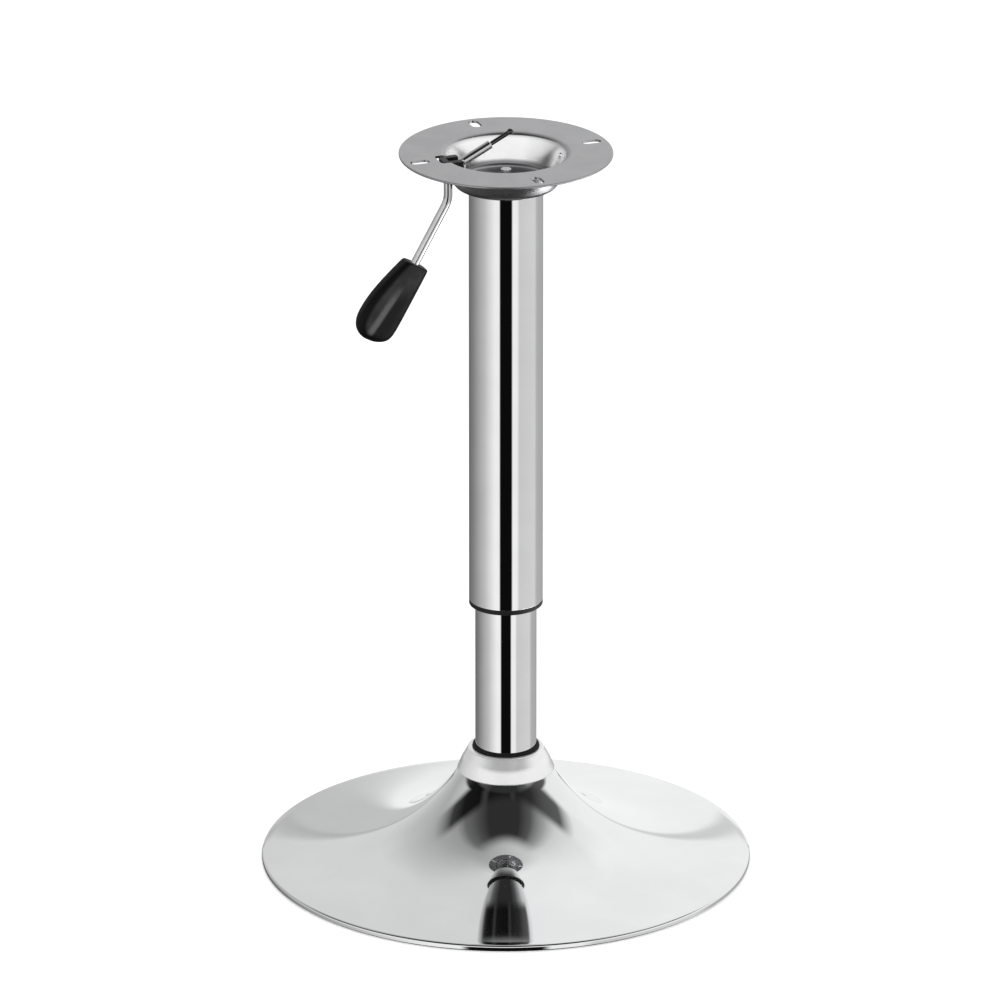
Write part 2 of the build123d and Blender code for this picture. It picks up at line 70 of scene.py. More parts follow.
class Graph:
    def __init__(self, tree):
        self.tree = tree
        tree.nodes.clear()

    def node(self, kind, settings=None, values=None, out=0):
        made = self.tree.nodes.new(kind)
        for name, value in (settings or {}).items():
            if name == "stops":
                ramp = made.color_ramp
                while len(ramp.elements) < len(value):
                    ramp.elements.new(1.0)
                for element, (place, colour) in zip(ramp.elements, value):
                    element.position = place
                    element.color = colour if isinstance(colour, tuple) else (colour,) * 3 + (1.0,)
            else:
                setattr(made, name, value)
        for key, value in (values or {}).items():
            if isinstance(value, Wire):
                self.tree.links.new(value.socket, made.inputs[key])
            else:
                made.inputs[key].default_value = value
        return Wire(self, made.outputs[out]) if made.outputs else made

    def noise(self, where, scale, detail=3.0, roughness=0.5):
        values = {"Vector": where, "Scale": scale, "Detail": detail, "Roughness": roughness}
        return self.node("ShaderNodeTexNoise", None, values)

    def mix(self, share, first, second):  # colours
        return self.node("ShaderNodeMix", {"data_type": "RGBA"}, {0: share, 6: first, 7: second}, out=2)


def rgb(red, green=None, blue=None):
    return (red, red if green is None else green, red if blue is None else blue, 1.0)


def newMaterial(name):
    made = bpy.data.materials.new(name)
    made.use_nodes = True
    return made, Graph(made.node_tree)


def closeMaterial(graph, values):
    surface = graph.node("ShaderNodeBsdfPrincipled", None, values)
    graph.node("ShaderNodeOutputMaterial", None, {"Surface": surface})


def place(graph, stretch=(1.0, 1.0, 1.0)):  # object coordinates, in metres, stretched for drawn grain
    where = graph.node("ShaderNodeTexCoord", out="Object")
    return graph.node("ShaderNodeMapping", None, {"Vector": where, "Scale": stretch})


def coordinate(graph, where, axis):
    return graph.node("ShaderNodeSeparateXYZ", None, {0: where}, out=axis)


def bumpOf(graph, height, distance, under=None):
    values = {"Height": height, "Distance": distance, "Strength": 1.0}
    if under:
        values["Normal"] = under
    return graph.node("ShaderNodeBump", None, values)


def chromeFinish(name, look):
    made, graph = newMaterial(name)
    where = place(graph)
    cloud = graph.noise(where, look["cloudScale"], 4.0, 0.55)
    polish = graph.noise(place(graph, look["polish"]), look["polishScale"], 2.0, 0.6)
    specks = graph.noise(where, 2600.0, 2.0, 0.5).reach(0.66, 0.74)
    tone = graph.mix(cloud.reach(0.35, 0.7), rgb(*look["dull"]), rgb(*look["bright"]))
    if "nose" in look:  # the slim nose is set darker than the bar
        along = coordinate(graph, where, "X")
        tone = graph.mix(along.reach(*look["noseFrom"]), tone, rgb(*look["nose"]))
    rough = look["rough"] + cloud.reach(0.4, 0.75) * look["haze"] + specks * 0.05
    wave = graph.noise(where, look["waveScale"], 2.0, 0.4)
    wavy = bumpOf(graph, wave, look["wave"])
    fine = bumpOf(graph, polish, look["polishDepth"], wavy)
    closeMaterial(graph, {
        "Base Color": tone, "Metallic": look.get("metal", 1.0), "Roughness": rough, "Normal": fine})
    return made


def zincFinish(name, look):
    made, graph = newMaterial(name)
    where = place(graph)
    flow = graph.noise(where, look["flowScale"], 5.0, 0.6)
    grain = graph.noise(where, look["grainScale"], 3.0, 0.65)
    spots = graph.noise(where, 190.0, 3.0, 0.5).reach(0.62, 0.75)
    tone = graph.mix(flow.reach(0.3, 0.7), rgb(*look["dull"]), rgb(*look["bright"]))
    tone = graph.mix(grain.reach(0.35, 0.8) * look["grainShare"], tone, rgb(*look["grain"]))
    rough = look["rough"] + flow.reach(0.35, 0.7) * 0.06 + spots * 0.05 + grain * 0.05
    if "paintedSheen" in look:  # painted sheen: the bowl's wall is set brighter and smoother than the flange, a painted reflection of the bright light in front
        across, deep, up = (coordinate(graph, where, axis) for axis in "XYZ")
        radial = (across * across + deep * deep).maths("SQRT")
        ring = radial.reach(*look["wallInside"]) * (1.0 - radial.reach(*look["wallOutside"]))
        wall = ring * up.reach(*look["wallFoot"])
        # painted reflection: the wall's tone is nearly white
        tone = graph.mix(wall, tone, rgb(*look["paintedSheen"]))
        rough = rough - wall * look["paintedSheenPolish"]
    closeMaterial(graph, {
        "Base Color": tone, "Metallic": 1.0, "Roughness": rough, "Normal": bumpOf(graph, grain, look["grainDepth"])})
    return made


def plasticFinish(name, look):
    made, graph = newMaterial(name)
    where = place(graph)
    cells = {"Vector": where, "Scale": look["pebbleScale"]}
    pebble = graph.node("ShaderNodeTexVoronoi", {"feature": "SMOOTH_F1"}, cells)
    cloud = graph.noise(where, 60.0, 4.0, 0.55)
    wearAndPaintedHighlight = graph.noise(where, 240.0, 3.0, 0.6).reach(0.55, 0.75)
    tone = graph.mix(cloud.reach(0.3, 0.75), rgb(*look["dark"]), rgb(*look["light"]))
    if "edge" in look:  # painted highlight and painted shade: a paler ridge on each flat face, painted shade past it toward the column, and painted shade on the darker rounded sides
        face = coordinate(graph, where, "Y").maths("ABSOLUTE").reach(*look["edge"])
        across, up = coordinate(graph, where, "X"), coordinate(graph, where, "Z")
        slopeX, slopeZ, start = look["ridgeLine"]
        past = across * slopeX - up * slopeZ + start  # metres past the ridge, toward the column
        lowerPart = 1.0 - up.reach(*look["ridgeTop"])
        # painted highlight: a paler streak along the ridge on the lower part of each flat face, broken up by the wear
        # noise
        paintedHighlight = past.reach(*look["ridgeRise"]) * (1.0 - past.reach(*look["ridgeFall"])) * lowerPart
        tone = graph.mix(paintedHighlight * (0.6 + wearAndPaintedHighlight * 0.4), tone, rgb(*look["wearAndPaintedHighlight"]))
        # painted shade past the ridge, toward the column, on the lower part of each face
        tone = graph.mix(past.reach(*look["shadeFrom"]) * lowerPart, tone, rgb(look["shade"]))
        # painted shade: the rounded sides between the flat faces are set almost black
        tone = graph.mix(face, rgb(look["side"]), tone)
    rough = look["rough"] + cloud.reach(0.3, 0.7) * 0.05 - wearAndPaintedHighlight * 0.06
    closeMaterial(graph, {
        "Base Color": tone, "Roughness": rough, "IOR": look["ior"],
        "Normal": bumpOf(graph, pebble, look["pebbleDepth"])})
    return made


finishes = {
    "chromeBase": {
        "bright": (0.86, 0.865, 0.87), "dull": (0.82, 0.825, 0.83), "rough": 0.035, "haze": 0.02, "cloudScale": 14.0,
        "polish": (1.0, 1.0, 1.0), "polishScale": 900.0, "polishDepth": 0.0000015, "waveScale": 9.0, "wave": 0.00006,
    },
    "chromeTube": {
        "bright": (0.86, 0.86, 0.87), "dull": (0.82, 0.82, 0.83), "rough": 0.03, "haze": 0.02, "cloudScale": 22.0,
        "polish": (1.0, 1.0, 0.06), "polishScale": 1400.0, "polishDepth": 0.0000008, "waveScale": 12.0, "wave": 0.00002,
    },
    "chromeCollar": {
        "bright": (0.95, 0.95, 0.955), "dull": (0.91, 0.91, 0.915), "rough": 0.22, "haze": 0.05, "cloudScale": 60.0,
        "metal": 0.6,
        "polish": (1.0, 1.0, 1.0), "polishScale": 700.0, "polishDepth": 0.000002, "waveScale": 55.0, "wave": 0.00008,
    },
    "chromeLever": {
        "bright": (0.64, 0.64, 0.65), "dull": (0.56, 0.56, 0.57), "rough": 0.09, "haze": 0.05, "cloudScale": 90.0,
        "polish": (1.0, 1.0, 0.2), "polishScale": 1200.0, "polishDepth": 0.000002, "waveScale": 60.0, "wave": 0.00002,
        "noseFrom": (-0.0134, -0.0128), "nose": (0.09, 0.09, 0.092),
    },
    "satinZinc": {
        "bright": (0.43, 0.43, 0.44), "dull": (0.36, 0.36, 0.37), "grain": (0.50, 0.50, 0.51), "grainShare": 0.35,
        "rough": 0.27, "flowScale": 42.0, "grainScale": 900.0, "grainDepth": 0.000006,
        # the bowl's wall gets a painted sheen, a nearly white tone that stands in for the light it mirrors
        "paintedSheen": (0.96, 0.96, 0.965), "paintedSheenPolish": 0.12, "wallInside": (0.030, 0.034),
        "wallOutside": (0.0475, 0.0497), "wallFoot": (0.5885, 0.5915),
    },
    "brightSteel": {
        "bright": (0.66, 0.66, 0.67), "dull": (0.55, 0.55, 0.56), "grain": (0.72, 0.72, 0.73), "grainShare": 0.3,
        "rough": 0.2, "flowScale": 90.0, "grainScale": 1800.0, "grainDepth": 0.000003,
    },
    "handlePlastic": {
        "dark": (0.02, 0.02, 0.021), "light": (0.042, 0.042, 0.044), "rough": 0.5, "ior": 1.25,
        # the handle's paler ridge is a painted highlight, and its dark band past the ridge and its dark sides are
        # painted shade
        "pebbleScale": 1300.0, "pebbleDepth": 0.00006, "edge": (0.0074, 0.0086), "side": 0.002,
        "wearAndPaintedHighlight": (0.16, 0.16, 0.165), "ridgeLine": (0.8704, 0.6374, 0.4052), "ridgeTop": (0.494, 0.514),
        "ridgeRise": (-0.0048, -0.0008), "ridgeFall": (0.001, 0.0036), "shadeFrom": (0.0018, 0.0046), "shade": 0.006,
    },
    "blackPlastic": {
        "dark": (0.005, 0.005, 0.005), "light": (0.009, 0.009, 0.009), "rough": 0.42, "ior": 1.34,
        "pebbleScale": 2000.0, "pebbleDepth": 0.00003,
    },
    "blackRubber": {
        "dark": (0.004, 0.004, 0.004), "light": (0.008, 0.008, 0.008), "rough": 0.62, "ior": 1.3,
        "pebbleScale": 1100.0, "pebbleDepth": 0.00008,
    },
    "blackEnamel": {
        "dark": (0.028, 0.028, 0.03), "light": (0.036, 0.036, 0.038), "rough": 0.3, "ior": 1.5,
        "pebbleScale": 500.0, "pebbleDepth": 0.00005,
    },
}

chromeBase = chromeFinish("chromeBase", finishes["chromeBase"])
chromeTube = chromeFinish("chromeTube", finishes["chromeTube"])
chromeCollar = chromeFinish("chromeCollar", finishes["chromeCollar"])
chromeLever = chromeFinish("chromeLever", finishes["chromeLever"])
satinZinc = zincFinish("satinZinc", finishes["satinZinc"])
brightSteel = zincFinish("brightSteel", finishes["brightSteel"])
handlePlastic = plasticFinish("handlePlastic", finishes["handlePlastic"])
blackPlastic = plasticFinish("blackPlastic", finishes["blackPlastic"])
blackRubber = plasticFinish("blackRubber", finishes["blackRubber"])
blackEnamel = plasticFinish("blackEnamel", finishes["blackEnamel"])
print("finishes ready:", len(finishes))

carriedFinish = {
    "ballast_plate": blackEnamel, "taper_socket": blackEnamel, "gas_cylinder": blackEnamel,
    "tube_end_plate": brightSteel, "lower_race": brightSteel, "upper_race": brightSteel,
    "ball_cage": brightSteel, "bearing_balls": brightSteel, "piston_rod": brightSteel,
    "rod_washer": brightSteel, "rod_clip": brightSteel, "pivot_pin": brightSteel,
    "retaining_washer": brightSteel, "guide_bush": blackPlastic, "piston": blackPlastic,
    "end_guide": blackPlastic, "centring_ring": blackPlastic, "pivot_bush": blackPlastic,
    "bump_stop": blackRubber,
}
for nodeName, finish in carriedFinish.items():
    nodes[nodeName].data.materials.clear()
    nodes[nodeName].data.materials.append(finish)


def standAlone():  # object mode with nothing selected
    if bpy.context.object and bpy.context.object.mode != "OBJECT":
        bpy.ops.object.mode_set(mode="OBJECT")
    bpy.ops.object.select_all(action="DESELECT")


def pickOnly(piece):
    standAlone()
    piece.select_set(True)
    bpy.context.view_layer.objects.active = piece


def startCircle(name, radius, centre, sides, turn=(0.0, 0.0, 0.0)):
    standAlone()
    bpy.ops.mesh.primitive_circle_add(vertices=sides, radius=radius * mm, location=Vector(centre) * mm, rotation=turn)
    piece = bpy.context.object
    piece.name = piece.data.name = name
    bpy.ops.object.transform_apply(location=True, rotation=True, scale=True)
    bpy.ops.object.mode_set(mode="EDIT")
    bpy.ops.mesh.select_all(action="SELECT")
    return piece


def rounded(corners, closed=True, step=12.0, hold=0.25):
    # corners of (radius, height, round) become rings, each round a short arc held by a ring on each side
    rings = []
    for spot, (radius, height, bend) in enumerate(corners):
        if bend == 0 or (not closed and spot in (0, len(corners) - 1)):
            rings.append((radius, height))
            continue
        here = Vector((radius, height))
        back = (Vector(corners[spot - 1][:2]) - here).normalized()
        ahead = (Vector(corners[(spot + 1) % len(corners)][:2]) - here).normalized()
        half = back.angle(ahead) / 2
        centre = here + (back + ahead).normalized() * bend / math.sin(half)
        first = here + back * bend / math.tan(half) - centre
        last = here + ahead * bend / math.tan(half) - centre
        steps = max(2, math.ceil(math.degrees(math.pi - 2 * half) / step))
        rings.append(tuple(centre + first + back * hold))
        for part in range(steps + 1):
            share = part / steps
            rings.append(tuple(centre + first.normalized().slerp(last.normalized(), share) * bend))
        rings.append(tuple(centre + last + ahead * hold))
    return rings + rings[:1] if closed else rings


def turnRings(name, rings, sides=192):
    # the first ring is extruded and resized from one (radius, height) to the next
    piece = startCircle(name, rings[0][0], (0, 0, rings[0][1]), sides)
    for (fromRadius, fromHeight), (toRadius, toHeight) in zip(rings, rings[1:]):
        bpy.ops.mesh.extrude_region_move(TRANSFORM_OT_translate={"value": (0, 0, (toHeight - fromHeight) * mm)})
        ratio = toRadius / fromRadius
        bpy.ops.transform.resize(value=(ratio, ratio, 1), center_override=(0, 0, toHeight * mm))
    return piece


def tidyMesh(piece, angle=30.0, join=0.004):
    pickOnly(piece)
    bpy.ops.object.mode_set(mode="EDIT")
    bpy.ops.mesh.select_all(action="SELECT")
    bpy.ops.mesh.remove_doubles(threshold=join * mm)
    bpy.ops.mesh.normals_make_consistent(inside=False)
    bpy.ops.object.mode_set(mode="OBJECT")
    bpy.ops.object.shade_smooth_by_angle(angle=math.radians(angle))


def fitPiece(piece, body, node, finish):
    piece.data.materials.clear()
    piece.data.materials.append(finish)
    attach(piece, body)
    if node:
        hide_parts(node)
    low = min(vertex.co.z for vertex in piece.data.vertices)
    print("made", piece.name, "with", len(piece.data.polygons), "faces from", round(low / mm, 2), "mm")


def cutAway(piece, cutter):
    pickOnly(piece)
    cut = piece.modifiers.new("cut", "BOOLEAN")
    cut.operation = "DIFFERENCE"
    cut.solver = "EXACT"
    cut.object = cutter
    bpy.ops.object.modifier_apply(modifier=cut.name)
    bpy.data.objects.remove(cutter, do_unlink=True)


# Trumpet foot: one pressed sheet, lip, long flare and neck.
trumpet = {
    "rim": 199.9, "sheet": 1.6, "lipBottom": 1.5, "lipTop": 3.4, "lipBend": 2.5, "level": 3.6, "rise": 75.0,
    "fall": 46.0, "foot": 39.0, "neck": 30.4, "neckBend": 91.0, "neckTop": 94.0,
    "sides": 256,
}


def flareAt(radius, inset=0.0):
    drop = trumpet["rise"] * math.exp((trumpet["foot"] - radius) / trumpet["fall"])
    slope = drop / trumpet["fall"]
    run = math.hypot(slope, 1.0)
    return (radius - inset * slope / run, trumpet["level"] + drop - inset / run)


def trumpetSide(inset):  # from the lip's lower edge up to the neck's top
    rim, bend = trumpet["rim"] - inset, trumpet["lipBend"] - inset
    side = [(rim, trumpet["lipBottom"]), (rim, trumpet["lipTop"])]
    for turned in range(11, 89, 11):
        angle = math.radians(turned)
        side.append((rim - bend + bend * math.cos(angle), trumpet["lipTop"] + bend * math.sin(angle)))
    flareFrom = trumpet["rim"] - 5.5
    for part in range(0, 97):
        share = part / 96
        radius = flareFrom + (trumpet["foot"] - flareFrom) * (1 - (1 - share) ** 0.8)
        side.append(flareAt(radius, inset))
    lastRadius, lastHeight = side[-1]
    neck = trumpet["neck"] - inset
    for part in range(1, 7):
        share = part / 6
        radius = lastRadius + (neck - lastRadius) * (1 - (1 - share) ** 2)
        side.append((radius, lastHeight + (trumpet["neckBend"] - lastHeight) * share))
    side.append((neck, trumpet["neckTop"]))
    return side


outerSide, innerSide = trumpetSide(0.0), trumpetSide(trumpet["sheet"])
trumpetFoot = turnRings("trumpetFoot", outerSide + innerSide[::-1] + outerSide[:1], trumpet["sides"])
tidyMesh(trumpetFoot, 40.0)
fitPiece(trumpetFoot, "base", "base_shell", chromeBase)

# Rubber floor ring with a small step for the ballast plate.
floorRing = {"bore": 186.0, "outer": 198.2, "top": 3.4, "step": 190.2, "seat": 1.4}
rings = rounded([
    (floorRing["bore"], 0.0, 0.4), (floorRing["outer"], 0.0, 0.5), (floorRing["outer"], floorRing["top"], 0.3),
    (floorRing["step"], floorRing["top"], 0.2), (floorRing["step"], floorRing["seat"], 0.0),
    (floorRing["bore"], floorRing["seat"], 0.2)])
footRing = turnRings("footRing", rings, trumpet["sides"])
tidyMesh(footRing)
fitPiece(footRing, "base", "rim_ring", blackRubber)

# Collar: a tapered band with a crowned side and a recess for the seal.
collar = {
    "foot": 39.9, "footLevel": 78.8, "middle": (35.7, 88.8), "top": (30.6, 98.0), "seat": 27.3, "seatLevel": 95.5,
    "throat": 25.3, "underside": 94.0, "undersideRadius": 31.4, "footInside": 39.0,
}
rings = rounded([
    (collar["foot"], collar["footLevel"], 0.5), collar["middle"] + (30.0,), collar["top"] + (1.8,),
    (collar["seat"], collar["top"][1], 0.3), (collar["seat"], collar["seatLevel"], 0.0),
    (collar["throat"], collar["seatLevel"], 0.0), (collar["throat"], collar["underside"], 0.0),
    (collar["undersideRadius"], collar["underside"], 0.0), (collar["footInside"], collar["footLevel"], 0.0)], step=6.0)
neckCollar = turnRings("neckCollar", rings, 192)
tidyMesh(neckCollar)
fitPiece(neckCollar, "base", "base_collar", chromeCollar)

seal = {"inner": 25.05, "outer": 27.25, "bottom": 95.5, "top": 100.4}
rings = rounded([
    (seal["inner"], seal["bottom"], 0.0), (seal["outer"], seal["bottom"], 0.0), (seal["outer"], seal["top"], 1.2),
    (seal["inner"], seal["top"], 0.3)])
sealRing = turnRings("sealRing", rings, 128)
tidyMesh(sealRing)
fitPiece(sealRing, "base", "collar_seal", blackRubber)

# Stand tube, glide ring and shroud.
stand = {"foot": 24.0, "outer": 25.0, "bore": 23.0, "bottom": 18.0, "taperTop": 68.0, "top": 402.0}
rings = rounded([
    (stand["foot"], stand["bottom"], 0.3), (stand["outer"], stand["taperTop"], 0.0), (stand["outer"], stand["top"], 0.4),
    (stand["bore"], stand["top"], 0.3), (stand["bore"], stand["bottom"], 0.2)])
standTube = turnRings("standTube", rings, 192)
tidyMesh(standTube)
fitPiece(standTube, "base", "stand_tube", chromeTube)

glide = {"inner": 25.3, "outer": 30.0, "insert": 28.45, "bottom": 223.4, "lip": 227.4, "top": 239.4}
rings = rounded([
    (glide["inner"], glide["bottom"], 0.3), (glide["outer"], glide["bottom"], 0.9), (glide["outer"], glide["lip"], 0.15),
    (glide["insert"], glide["lip"], 0.0), (glide["insert"], glide["top"], 0.4), (glide["inner"], glide["top"], 0.4)])
glideRing = turnRings("glideRing", rings, 192)
tidyMesh(glideRing)
fitPiece(glideRing, "column", "glide_ring", blackPlastic)

shroud = {"outer": 30.0, "bore": 28.5, "bottom": 227.4, "top": 583.0}
rings = rounded([
    (shroud["outer"], shroud["bottom"], 0.35), (shroud["outer"], shroud["top"], 0.2),
    (shroud["bore"], shroud["top"], 0.2), (shroud["bore"], shroud["bottom"], 0.35)])
shroudTube = turnRings("shroudTube", rings, 192)
tidyMesh(shroudTube)
fitPiece(shroudTube, "column", "shroud_tube", chromeTube)

# Mounting plate: one pressing with a bowl, four slots, a spare hole and the lever's notch.
plate = {
    "radius": 86.0, "top": 611.0, "sheet": 2.0, "mouth": 49.4, "floorRadius": 40.0, "floor": 585.0, "bend": 4.0,
    "edge": 0.7, "bore": 17.05, "slotCircle": 73.0, "slotLength": 16.0, "slotWidth": 8.5, "sides": 240,
    "spareHole": 2.5, "spareDepth": 9.0, "notchEnd": 58.0, "notchStart": 40.0, "notchFloor": 593.0, "notchWidth": 18.8,
    "notchCorner": 3.0,
}
wallTilt = math.atan2(plate["top"] - plate["floor"], plate["mouth"] - plate["floorRadius"])
shift = plate["sheet"] * math.tan(wallTilt / 2)
under, below = plate["top"] - plate["sheet"], plate["floor"] - plate["sheet"]
rings = rounded([
    (plate["radius"], plate["top"], plate["edge"]), (plate["mouth"], plate["top"], plate["bend"]),
    (plate["floorRadius"], plate["floor"], plate["bend"]), (plate["bore"], plate["floor"], 0.0),
    (plate["bore"], below, 0.0), (plate["floorRadius"] + shift, below, plate["bend"] + plate["sheet"]),
    (plate["mouth"] + shift, under, plate["bend"] - plate["sheet"]), (plate["radius"], under, plate["edge"])], step=7.0)
mountPlate = turnRings("mountPlate", rings, plate["sides"])
tidyMesh(mountPlate)


def slotCutter(angle):  # a rounded slot that points away from the axis
    standAlone()
    middle = (plate["slotCircle"] * mm, 0, (plate["top"] - plate["sheet"] / 2) * mm)
    bpy.ops.mesh.primitive_cylinder_add(
        vertices=32, radius=plate["slotWidth"] / 2 * mm, depth=10 * mm, location=middle, rotation=(0, 0, math.pi / 32))
    cutter = bpy.context.object
    bpy.ops.object.transform_apply(location=True, rotation=True)
    half = (plate["slotLength"] - plate["slotWidth"]) / 2
    for sign in (1, -1):
        bpy.ops.object.mode_set(mode="EDIT")
        bpy.ops.mesh.select_all(action="DESELECT")
        bpy.ops.object.mode_set(mode="OBJECT")
        for vertex in cutter.data.vertices:
            vertex.select = (vertex.co.x - plate["slotCircle"] * mm) * sign > 0.00001
        bpy.ops.object.mode_set(mode="EDIT")
        bpy.ops.transform.translate(value=(half * sign * mm, 0, 0))
    bpy.ops.mesh.select_all(action="SELECT")
    bpy.ops.object.mode_set(mode="OBJECT")
    cutter.rotation_euler[2] = angle
    bpy.ops.object.transform_apply(rotation=True)
    return cutter


def addBox(low, high):  # a box between two corners, in millimetres
    standAlone()
    middle, size = (Vector(low) + Vector(high)) / 2 * mm, (Vector(high) - Vector(low)) * mm
    bpy.ops.mesh.primitive_cube_add(size=1, location=middle, scale=size)
    bpy.ops.object.transform_apply(location=True, scale=True)
    return bpy.context.object


def addPeg(radius, depth, spot, turned, sides=64):
    standAlone()
    bpy.ops.mesh.primitive_cylinder_add(
        vertices=sides, radius=radius * mm, depth=depth * mm, location=Vector(spot) * mm, rotation=turned)
    bpy.ops.object.transform_apply(location=True, rotation=True)
    return bpy.context.object


for quarter in range(4):
    cutAway(mountPlate, slotCutter(quarter * math.pi / 2))
alongX, alongY = (0, math.pi / 2, 0), (math.pi / 2, 0, 0)
spareSpot = (46.0, 0.0, plate["top"] - plate["spareDepth"])
cutAway(mountPlate, addPeg(plate["spareHole"], 16.0, spareSpot, alongX, 32))
notchCutter = addBox(
    (-plate["notchEnd"], -plate["notchWidth"] / 2, plate["notchFloor"]),
    (-plate["notchStart"], plate["notchWidth"] / 2, plate["top"] + 6.0))
bpy.ops.object.mode_set(mode="EDIT")
bpy.ops.mesh.select_mode(type="EDGE")
bpy.ops.mesh.select_all(action="DESELECT")
bpy.ops.object.mode_set(mode="OBJECT")
for edge in notchCutter.data.edges:
    ends = [notchCutter.data.vertices[v].co for v in edge.vertices]
    edge.select = all(end.x < -0.057 for end in ends) and abs(ends[0].z - ends[1].z) > 0.01
bpy.ops.object.mode_set(mode="EDIT")
bpy.ops.mesh.bevel(offset=plate["notchCorner"] * mm, segments=6)
bpy.ops.mesh.select_mode(type="VERT")
bpy.ops.object.mode_set(mode="OBJECT")
cutAway(mountPlate, notchCutter)
pickOnly(mountPlate)
bpy.ops.object.shade_smooth_by_angle(angle=math.radians(30))
fitPiece(mountPlate, "column", "mounting_plate", satinZinc)


def softenEdges(piece, width, segments=3):
    pickOnly(piece)
    soften = piece.modifiers.new("soften", "BEVEL")
    soften.limit_method = "ANGLE"
    soften.angle_limit = math.radians(40)
    soften.width = width * mm
    soften.segments = segments
    bpy.ops.object.modifier_apply(modifier=soften.name)
    tidyMesh(piece, 30.0, 0.01)


# Pivot bush in the notch: two cheeks, a bridge over the rod and a lip behind the bowl's wall.
bush = {
    "outer": 9.2, "inner": 3.9, "from": -53.5, "to": -39.5, "lipEnd": -55.0, "lipSide": 6.0, "bottom": 593.0,
    "top": 610.4, "bridgeTo": -50.0, "bridgeUnder": 608.2, "pinHole": 2.03, "soft": 0.5,
}
pivotBush = addBox((bush["lipEnd"], -bush["outer"], bush["bottom"]), (bush["to"], bush["outer"], bush["top"]))
pivotBush.name = pivotBush.data.name = "pivotBush"
for sign in (1, -1):
    ends = sorted((bush["lipSide"] * sign, 20.0 * sign))
    cutAway(pivotBush, addBox((-60.0, ends[0], 590.0), (bush["from"], ends[1], 615.0)))
cutAway(pivotBush, addBox((-60.0, -bush["inner"], 590.0), (-35.0, bush["inner"], bush["bridgeUnder"])))
cutAway(pivotBush, addBox((bush["bridgeTo"], -bush["inner"], 605.0), (-35.0, bush["inner"], 615.0)))
pivot = (-45.0, 0.0, 603.0)
cutAway(pivotBush, addPeg(bush["pinHole"], 30.0, pivot, alongY))
softenEdges(pivotBush, bush["soft"])
fitPiece(pivotBush, "column", "pivot_bush", blackPlastic)

# Horseshoe washer that clips over the bush's inner end.
washer = {
    "radius": 11.0, "from": -39.5, "to": -38.0, "top": 610.4, "slot": 4.1, "slotFloor": 596.2, "soft": 0.3,
}
washerSpot = ((washer["from"] + washer["to"]) / 2, 0.0, pivot[2])
horseshoe = addPeg(washer["radius"], washer["to"] - washer["from"], washerSpot, alongX)
horseshoe.name = horseshoe.data.name = "horseshoe"
cutAway(horseshoe, addBox((-45.0, -20.0, washer["top"]), (-30.0, 20.0, 620.0)))
cutAway(horseshoe, addBox((-45.0, -washer["slot"], washer["slotFloor"]), (-30.0, washer["slot"], 620.0)))
softenEdges(horseshoe, washer["soft"])
fitPiece(horseshoe, "column", "retaining_washer", brightSteel)

# Taper hub with its flange under the bowl, and the button in the cylinder's head.
hub = {
    "radius": 17.0, "flange": 24.0, "boreTop": 12.98, "boreFoot": 14.05, "bottom": 544.0, "flangeFrom": 579.0,
    "flangeTo": 583.0, "top": 588.0,
}
rings = rounded([
    (hub["radius"], hub["bottom"], 0.6), (hub["radius"], hub["flangeFrom"], 0.0), (hub["flange"], hub["flangeFrom"], 0.6),
    (hub["flange"], hub["flangeTo"], 0.3), (hub["radius"], hub["flangeTo"], 0.0), (hub["radius"], hub["top"], 0.9),
    (hub["boreTop"], hub["top"], 0.4), (hub["boreFoot"], hub["bottom"], 0.4)])
taperHub = turnRings("taperHub", rings, 128)
tidyMesh(taperHub)
fitPiece(taperHub, "column", "taper_hub", satinZinc)

button = {"pole": 0.05, "flat": 2.6, "head": 4.4, "stem": 3.0, "top": 597.0, "headFoot": 594.2, "bottom": 572.2}
rings = rounded([
    (button["pole"], button["top"], 0.0), (button["flat"], button["top"], 0.0), (button["head"], button["top"], 0.6),
    (button["head"], button["headFoot"], 0.2), (button["stem"], button["headFoot"], 0.0),
    (button["stem"], button["bottom"], 0.3), (button["pole"], button["bottom"], 0.0)], closed=False)
releaseButton = turnRings("releaseButton", rings, 48)
tidyMesh(releaseButton, join=0.05)
fitPiece(releaseButton, "button", "release_button", brightSteel)

# Lever rod: one bent bar from the slim nose over the button to the handle.
rod = {
    "nose": (-13.37, 619.117), "knee": (-49.304, 600.807), "drop": (-49.3, 576.0), "end": (-92.338, 499.93),
    "radius": 3.5, "bends": (10.0, 20.0), "noseRadius": 1.8, "noseLength": 19.0, "tipRadius": 2.59, "pole": 0.05,
    "pinBore": 2.06, "sides": 48,
}


def inPlane(point):
    return Vector((point[0], 0.0, point[1]))


nosePoint, kneePoint, dropPoint, endPoint = (inPlane(rod[key]) for key in ("nose", "knee", "drop", "end"))
towardTip = (nosePoint - kneePoint).normalized()
tipCentre = nosePoint + towardTip * rod["noseLength"]
ringCentre, ringRadius = tipCentre + towardTip * rod["tipRadius"], rod["pole"]
facing = towardTip.to_track_quat("Z", "Y").to_euler()
leverRod = startCircle("leverRod", ringRadius, ringCentre, rod["sides"], facing)


def pushRing(move, ratio=1.0, centre=None):
    bpy.ops.mesh.extrude_region_move(TRANSFORM_OT_translate={"value": move * mm})
    if ratio != 1.0:
        bpy.ops.transform.resize(value=(ratio,) * 3, center_override=centre * mm)


